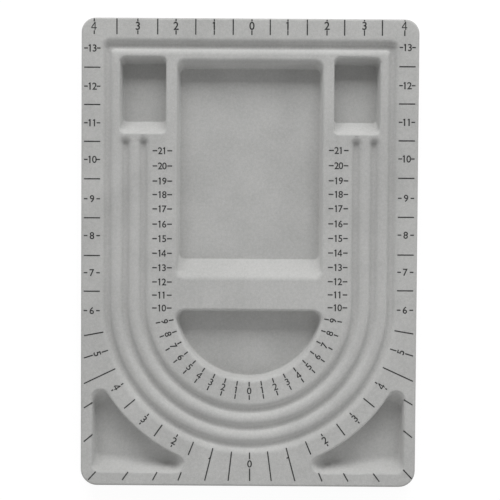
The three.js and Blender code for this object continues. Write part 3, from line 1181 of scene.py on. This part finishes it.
@dataclass
class PrintedScales:
    """The printed inch scale round the board and the centimetre scale beside the innermost channel.

    Angles round the bend are degrees, and a numeral's spacing and clear space are shares of its height.
    """

    sizes: BoardSizes
    finish: InkFinish = InkFinish()
    line: float = 0.84
    stroke: float = 0.66
    boldness: float = 0.015
    curve_steps: int = 5
    spacing: float = 0.62
    follow: float = 0.7
    long_share: float = 0.99
    shoulder_share: float = 0.7
    shift: float = 0.55
    lean: float = 0.0078
    far_height: float = 5.5
    far_clear: float = 0.54
    far_numerals: tuple[float, ...] = (-104.7, -75.5, -49.9, -24.3, 0.9, 25.0, 51.2, 76.3, 103.3)
    far_halves: tuple[float, ...] = (-89.5, -62.2, -36.7, -11.6, 13.2, 38.0, 63.0, 88.3)
    far_reach: Span = (146.5, 157.0)
    far_middle: float = 152.6
    far_lean: float = 0.0064
    side_height: float = 4.85
    side_first: int = 13
    side_numerals: tuple[float, ...] = (138.0, 112.55, 88.05, 63.5, 37.1, 12.3, -12.7, -38.3)
    side_halves: tuple[float, ...] = (125.2, 100.3, 75.6, 50.5, 24.3, -1.1, -25.2)
    side_reach: Span = (100.2, 111.1)
    side_middle: float = 105.6
    side_shift: float = -0.3
    side_dash: float = 2.45
    bend_height: float = 5.0
    bend_clear: float = 0.62
    bend_angles: tuple[float, ...] = (7.0, 14.4, 22.3, 29.1, 36.2, 42.9, 50.7, 58.4, 64.9, 72.6, 79.9)
    bend_lean: float = 0.65
    bend_start: float = 99.8
    bend_stop: float = 109.4
    bend_middle: float = 104.8
    bend_outward: float = 2.6
    outward_marks: tuple[int, int] = (0, 10)
    tray_marks: tuple[int, int] = (3, 8)
    flag_mark: int = 2
    flag_radius: float = 106.3
    flag: Span = (-1.3, -0.9)
    edge_y: float = -154.0
    corner_side: float = 105.2
    corner_near: float = -148.4
    least_slant: float = 0.01
    centimetre_height: float = 4.7
    centimetre_clear: float = 0.72
    centimetre_first: int = 21
    centimetre_rows: tuple[float, ...] = (
        69.25, 59.05, 48.9, 39.8, 30.2, 19.95, 10.15, 0.35, -9.4, -19.0, -27.9, -36.6)
    centimetre_reach: Span = (52.6, 65.8)
    centimetre_middle: float = 59.3
    centimetre_bend: Span = (51.7, 63.9)
    centimetre_turn: float = 8.84
    centimetre_last: int = 9
    digits: dict[str, bpy.types.Mesh] = field(default_factory=dict)
    only_strokes: str = "4"
    drawn: dict[str, tuple[Stroke, ...]] = field(default_factory=lambda: {
        "1": (((-0.2, 0.3), (0.0, 0.46)),),
        "4": (
            ((0.1, -0.5), (0.1, 0.5)),
            ((-0.34, -0.2), (0.1, 0.46)),
            ((-0.36, -0.22), (0.3, -0.22))),
    })

    def build(self) -> list[bpy.types.Object]:
        """Prints both scales.

        Returns:
            One piece for each run of a scale.
        """
        runs = {
            "inch_scale_far": self.print_far,
            "inch_scale_sides": self.print_sides,
            "inch_scale_bend": self.print_bend,
            "centimetre_scale": self.print_centimetres,
        }
        pieces = []
        for name, draw in runs.items():
            mesh = bmesh.new()
            draw(mesh)
            self.lay(mesh)
            pieces.append(piece_from(name, mesh))
        return pieces

    def dress(self, pieces: list[bpy.types.Object]) -> None:
        """Gives the print its finish and its place in the frame.

        Args:
            pieces: the runs of the scales.
        """
        ink = self.finish.material()
        for piece in pieces:
            piece.data.materials.append(ink)
            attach(piece, BODY)

    def stroke_at(
        self, mesh: bmesh.types.BMesh, start: Vector, end: Vector, width: float,
    ) -> None:
        """Prints one straight stroke, in short lengths so that it can follow a rounded edge.

        Args:
            mesh: the run's mesh.
            start: where the stroke starts.
            end: where it ends.
            width: its width.
        """
        along = end - start
        place = Matrix.Translation((*((start + end) / 2), 0.0))
        turn = Matrix.Rotation(math.atan2(along.y, along.x), 4, "Z")
        size = Matrix.Diagonal((along.length, width, self.sizes.ink_film, 1.0))
        made = bmesh.ops.create_cube(mesh, size=1.0, matrix=place @ turn @ size)
        edges = {edge for vert in made["verts"] for edge in vert.link_edges}
        long_edges = [edge for edge in edges if edge.calc_length() > along.length * self.long_share]
        cuts = int(along.length / self.follow)
        if cuts:
            bmesh.ops.subdivide_edges(mesh, edges=long_edges, cuts=cuts)

    def digit(self, character: str) -> bpy.types.Mesh:
        """The shape of one digit, one unit high and thick, with its middle at the origin.

        Args:
            character: the digit.

        Returns:
            Its mesh.
        """
        if character not in self.digits:
            curve = bpy.data.curves.new(f"digit_{character}", "FONT")
            curve.body = character
            curve.extrude = 0.5
            curve.offset = self.boldness
            curve.resolution_u = self.curve_steps
            holder = bpy.data.objects.new(f"digit_{character}", curve)
            shape = bpy.data.meshes.new_from_object(holder)
            bpy.data.objects.remove(holder)
            low = Vector(map(min, zip(*(vert.co for vert in shape.vertices))))
            high = Vector(map(max, zip(*(vert.co for vert in shape.vertices))))
            scale = 1 / (high.y - low.y)
            shape.transform(Matrix.Translation(-(low + high) / 2))
            shape.transform(Matrix.Diagonal((scale, scale, 1.0, 1.0)))
            self.digits[character] = shape
        return self.digits[character]

    def numeral(
        self, mesh: bmesh.types.BMesh, text: str, middle: Vector, height: float, turn: float = 0.0,
    ) -> None:
        """Prints a numeral.

        Args:
            mesh: the run's mesh.
            text: its digits.
            middle: where its middle lies.
            height: its height.
            turn: its turn from upright, in radians.
        """
        place = Matrix.Translation((*middle, 0.0)) @ Matrix.Rotation(turn, 4, "Z")
        size = Matrix.Diagonal((height, height, self.sizes.ink_film, 1.0))
        start = -self.spacing * (len(text) - 1) / 2
        for index, character in enumerate(text):
            at = start + self.spacing * index
            if character not in self.only_strokes:
                shape = self.digit(character).copy()
                shape.transform(place @ size @ Matrix.Translation((at, 0.0, 0.0)))
                mesh.from_mesh(shape)
                bpy.data.meshes.remove(shape)
            for foot, head in self.drawn.get(character, ()):
                ends = [place @ Vector((height * (at + x), height * y, 0.0)) for x, y in (foot, head)]
                self.stroke_at(mesh, ends[0].to_2d(), ends[1].to_2d(), self.stroke)

    def leaning(self, x: float, y: float) -> Vector:
        """A place on the print, which sits a little askew on the board."""
        return Vector((x + self.shift, y + x * self.lean))

    def level(
        self, mesh: bmesh.types.BMesh, side: Side, reach: Span, y: float, shift: float,
    ) -> None:
        """Prints a level stroke of the scale down one side.

        Args:
            mesh: the run's mesh.
            side: the side.
            reach: least and greatest distance from the middle.
            y: the stroke's Y.
            shift: how far to the right the scale lies.
        """
        ends = [Vector((side.value * x + shift, y)) for x in reach]
        self.stroke_at(mesh, *ends, self.line)

    def polar(self, radius: float, angle: float) -> Vector:
        """A place by its distance from the bend's centre and its angle from straight towards the user."""
        turn = math.radians(angle)
        return Vector((radius * math.sin(turn), self.sizes.bend_y - radius * math.cos(turn)))

    def radial(self, mesh: bmesh.types.BMesh, angle: float, inner: float, outer: float) -> None:
        """Prints a stroke that points at the bend's centre."""
        self.stroke_at(mesh, self.polar(inner, angle), self.polar(outer, angle), self.line)

    def numbered(
        self, mesh: bmesh.types.BMesh, number: int, angle: float, reach: Span, middle: float, height: float,
    ) -> None:
        """Prints a mark round the bend with a numeral in it.

        Args:
            mesh: the run's mesh.
            number: the numeral.
            angle: the mark's angle.
            reach: least and greatest distance from the bend's centre.
            middle: the numeral's distance from there.
            height: the numeral's height.
        """
        inner, outer = reach
        clear = height * self.bend_clear
        self.numeral(mesh, str(number), self.polar(middle, angle), height, math.radians(angle))
        self.radial(mesh, angle, inner, middle - clear)
        self.radial(mesh, angle, middle + clear, outer)

    def beyond(self, angle: float, side_x: float, near_y: float) -> float:
        """How far a mark round the bend reaches before it meets a side line or a near line.

        Args:
            angle: the mark's angle.
            side_x: the side line's distance from the middle.
            near_y: Y of the near line.

        Returns:
            The distance from the bend's centre.
        """
        slant = math.radians(abs(angle))
        to_side = side_x / max(math.sin(slant), self.least_slant)
        to_near = (self.sizes.bend_y - near_y) / max(math.cos(slant), self.least_slant)
        return min(to_side, to_near)

    def print_far(self, mesh: bmesh.types.BMesh) -> None:
        """Prints the scale along the far edge.

        Args:
            mesh: the run's mesh.
        """
        near, far = self.far_reach
        nought = len(self.far_numerals) // 2
        clear = self.far_height * self.far_clear
        for x in self.far_halves:
            self.stroke_at(mesh, Vector((x, near)), Vector((x, far)), self.line)
        for index, x in enumerate(self.far_numerals):
            middle = Vector((x, self.far_middle + x * self.far_lean))
            self.numeral(mesh, str(abs(index - nought)), middle, self.far_height)
            self.stroke_at(mesh, Vector((x, middle.y + clear)), Vector((x, far)), self.line)
            self.stroke_at(mesh, Vector((x, near)), Vector((x, middle.y - clear)), self.line)

    def print_sides(self, mesh: bmesh.types.BMesh) -> None:
        """Prints the scale along both sides.

        Args:
            mesh: the run's mesh.
        """
        inner, outer = self.side_reach
        dashes = ((inner, inner + self.side_dash), (outer - self.side_dash, outer))
        for side in Side:
            lean = side.value * self.side_middle * self.lean
            for y in self.side_halves:
                self.level(mesh, side, self.side_reach, y + lean, self.side_shift)
            for index, y in enumerate(self.side_numerals):
                middle = Vector((side.value * self.side_middle + self.side_shift, y + lean))
                self.numeral(mesh, str(self.side_first - index), middle, self.side_height)
                for dash in dashes:
                    self.level(mesh, side, dash, middle.y, self.side_shift)

    def print_bend(self, mesh: bmesh.types.BMesh) -> None:
        """Prints the inch scale round the bend and its marks beyond the corner trays.

        Args:
            mesh: the run's mesh.
        """
        marks = [(0, self.bend_lean)]
        for index, angle in enumerate(self.bend_angles, start=1):
            marks += [(index, self.bend_lean + angle), (index, self.bend_lean - angle)]
        first_by_tray, last_by_tray = self.tray_marks
        for index, angle in marks:
            stop = self.beyond(angle, self.side_reach[1], self.edge_y)
            if first_by_tray <= index <= last_by_tray:
                past_tray = self.beyond(angle, self.corner_side, self.corner_near)
                self.radial(mesh, angle, past_tray, stop)
                stop = self.bend_stop
            if index % 2 or index == self.flag_mark:
                self.radial(mesh, angle, self.bend_start, stop)
            else:
                middle = self.bend_middle + (self.bend_outward if index in self.outward_marks else 0.0)
                self.numbered(mesh, index // 2, angle, (self.bend_start, stop), middle, self.bend_height)
            if index == self.flag_mark:
                flag = self.polar(self.flag_radius, angle)
                self.stroke_at(mesh, flag, flag + Vector(self.flag), self.line)

    def print_centimetres(self, mesh: bmesh.types.BMesh) -> None:
        """Prints the centimetre scale down both sides of the large tray and round the bowl.

        Args:
            mesh: the run's mesh.
        """
        inner, outer = self.centimetre_reach
        height = self.centimetre_height
        clear = height * self.centimetre_clear
        dashes = ((inner, self.centimetre_middle - clear), (self.centimetre_middle + clear, outer))
        for side in Side:
            for index, y in enumerate(self.centimetre_rows):
                middle = self.leaning(side.value * self.centimetre_middle, y)
                self.numeral(mesh, str(self.centimetre_first - index), middle, height)
                for dash in dashes:
                    self.level(mesh, side, dash, middle.y, self.shift)
        round_bowl = sum(self.centimetre_bend) / 2
        for index in range(-self.centimetre_last, self.centimetre_last + 1):
            angle = index * self.centimetre_turn + self.bend_lean
            self.numbered(mesh, abs(index), angle, self.centimetre_bend, round_bowl, height)

    def lay(self, mesh: bmesh.types.BMesh) -> None:
        """Lays a flat print on the land and down over the edge of the outermost channel.

        Args:
            mesh: the run's mesh, printed round the height nought.
        """
        sizes = self.sizes
        radius = sizes.channel_shoulder
        furthest = radius * self.shoulder_share
        start = sizes.outer_radius + sizes.channel_half
        for vert in mesh.verts:
            away = abs(vert.co.x)
            if vert.co.y < sizes.bend_y:
                away = math.hypot(vert.co.x, vert.co.y - sizes.bend_y)
            over = start - away
            drop = 0.0
            if 0.0 < over < sizes.channel_half and vert.co.y < sizes.loop_far_y:
                drop = radius - math.sqrt(radius ** 2 - min(over, furthest) ** 2)
            vert.co.z += sizes.height - sizes.ink_film / 2 - drop


@dataclass(frozen=True)
class Lamp:
    """A wide soft lamp that looks at the middle of the board, with its angles in degrees."""

    name: str
    level: float
    distance: float
    bearing: float
    elevation: float
    width: float
    height: float

    def hang(self, scene: bpy.types.Scene) -> None:
        """Hangs the lamp.

        Args:
            scene: the scene it lights.
        """
        data = bpy.data.lights.new(self.name, "AREA")
        data.shape = "RECTANGLE"
        data.size = 2 * self.distance * math.tan(math.radians(self.width / 2))
        data.size_y = 2 * self.distance * math.tan(math.radians(self.height / 2))
        lift = math.radians(self.elevation)
        turn = Matrix.Rotation(math.radians(self.bearing), 3, "Z")
        data.energy = self.level * math.pi ** 2 * self.distance ** 2 / math.sin(lift)
        made = bpy.data.objects.new(self.name, data)
        made.location = turn @ Vector((0.0, math.cos(lift), math.sin(lift))) * self.distance
        made.rotation_euler = (lift - math.pi / 2, 0.0, math.radians(self.bearing))
        scene.collection.objects.link(made)


@dataclass
class Studio:
    """Floor, light and camera, in metres and degrees, with the lens in millimetres."""

    ambient: float = 0.247
    horizon: float = 1.7
    zenith: float = 0.65
    lamps: tuple[Lamp, ...] = (
        Lamp("key", 0.51, 1.4, 0.0, 28.2, 54.0, 26.0),
        Lamp("fill", 0.23, 0.45, 180.0, 48.0, 80.0, 40.0),
        Lamp("right", 0.07, 1.2, -90.0, 16.0, 50.0, 22.0),
        Lamp("left", 0.05, 1.2, 90.0, 16.0, 50.0, 22.0),
    )
    floor_size: float = 2.4
    floor_parts: int = 4
    floor_drop: float = 0.05 * MILLIMETRE
    floor_glow: float = 0.9
    floor_grey: float = 0.14
    floor_bounce: float = 0.25
    sensor: float = 36.0
    lens: float = 64.8
    clip: float = 0.01
    camera_place: Place = (0.00093, 0.01643, 0.62044)
    camera_turn: tuple[float, float, float] = (-1.319, 0.042, 0.3755)

    def build(self) -> None:
        """Sets up the floor, the light and the camera."""
        scene = bpy.context.scene
        scene.view_settings.view_transform = "Standard"
        self.world(scene)
        for lamp in self.lamps:
            lamp.hang(scene)
        self.floor()
        self.camera(scene)

    def seen(self, bench: NodeBench) -> Value:
        """Tells the rays that show the background from those that only light the board.

        Args:
            bench: the nodes of the background.

        Returns:
            1 for rays from the camera, a reflection or a clear body, and otherwise 0.
        """
        path = bench.node("ShaderNodeLightPath")
        camera = Value(bench, path.outputs["Is Camera Ray"])
        glossy = Value(bench, path.outputs["Is Glossy Ray"])
        clear = Value(bench, path.outputs["Is Transmission Ray"])
        return camera.most(glossy).most(clear)

    def world(self, scene: bpy.types.Scene) -> None:
        """Lights the scene from all round, most from low down, and shows white.

        Args:
            scene: the scene.
        """
        made = bpy.data.worlds.new("studio")
        made.use_nodes = True
        bench = NodeBench(made.node_tree)
        place = bench.node("ShaderNodeTexCoord")
        parts = bench.node("ShaderNodeSeparateXYZ", None, {0: place.outputs["Generated"]})
        high = Value(bench, parts.outputs["Z"])
        sky = self.horizon - high * (self.horizon - self.zenith)
        seen = self.seen(bench)
        strength = sky * self.ambient * (1.0 - seen) + seen
        light = bench.node(
            "ShaderNodeBackground", None, {"Color": grey(1.0), "Strength": strength})
        bench.node("ShaderNodeOutputWorld", None, {"Surface": light.outputs[0]})
        scene.world = made

    def floor(self) -> None:
        """Lays a white floor that keeps the board's faint shadow."""
        mesh = bmesh.new()
        bmesh.ops.create_grid(
            mesh, x_segments=self.floor_parts, y_segments=self.floor_parts,
            size=self.floor_size / 2 / MILLIMETRE)
        bmesh.ops.translate(mesh, vec=(0.0, 0.0, -self.floor_drop / MILLIMETRE), verts=mesh.verts[:])
        made = piece_from("floor", mesh)
        paint = bpy.data.materials.new("floor")
        paint.use_nodes = True
        bench = NodeBench(paint.node_tree)
        glow = bench.node("ShaderNodeEmission", None, {"Color": grey(1.0), "Strength": self.floor_glow})
        shaded = bench.node("ShaderNodeBsdfDiffuse", None, {"Color": grey(self.floor_grey)})
        shown = bench.node("ShaderNodeAddShader", None, {0: glow.outputs[0], 1: shaded.outputs[0]})
        bounce = bench.node("ShaderNodeBsdfDiffuse", None, {"Color": grey(self.floor_bounce)})
        mixed = bench.node(
            "ShaderNodeMixShader", None,
            {0: self.seen(bench), 1: bounce.outputs[0], 2: shown.outputs[0]})
        bench.node("ShaderNodeOutputMaterial", None, {"Surface": mixed.outputs[0]})
        made.data.materials.append(paint)

    def camera(self, scene: bpy.types.Scene) -> None:
        """Sets the camera almost straight above the board.

        Args:
            scene: the scene.
        """
        data = bpy.data.cameras.new("camera")
        data.sensor_width = self.sensor
        data.lens = self.lens
        data.clip_start = self.clip
        made = bpy.data.objects.new("camera", data)
        made.location = self.camera_place
        made.rotation_euler = tuple(math.radians(angle) for angle in self.camera_turn)
        scene.collection.objects.link(made)
        scene.camera = made


def main() -> None:
    """Builds the board and the studio, in order."""
    logging.basicConfig(level=logging.INFO, format="%(name)s: %(message)s")
    sizes = BoardSizes()
    Studio().build()
    sheet = TrayShell().dress()
    lining = FlockLining(sizes)
    pile = lining.build()
    lining.dress(pile)
    scales = PrintedScales(sizes)
    printed = scales.build()
    scales.dress(printed)
    for piece in (sheet, pile, *printed):
        log.info("%s: %d faces", piece.name, len(piece.data.polygons))


if __name__ == "__main__":
    main()
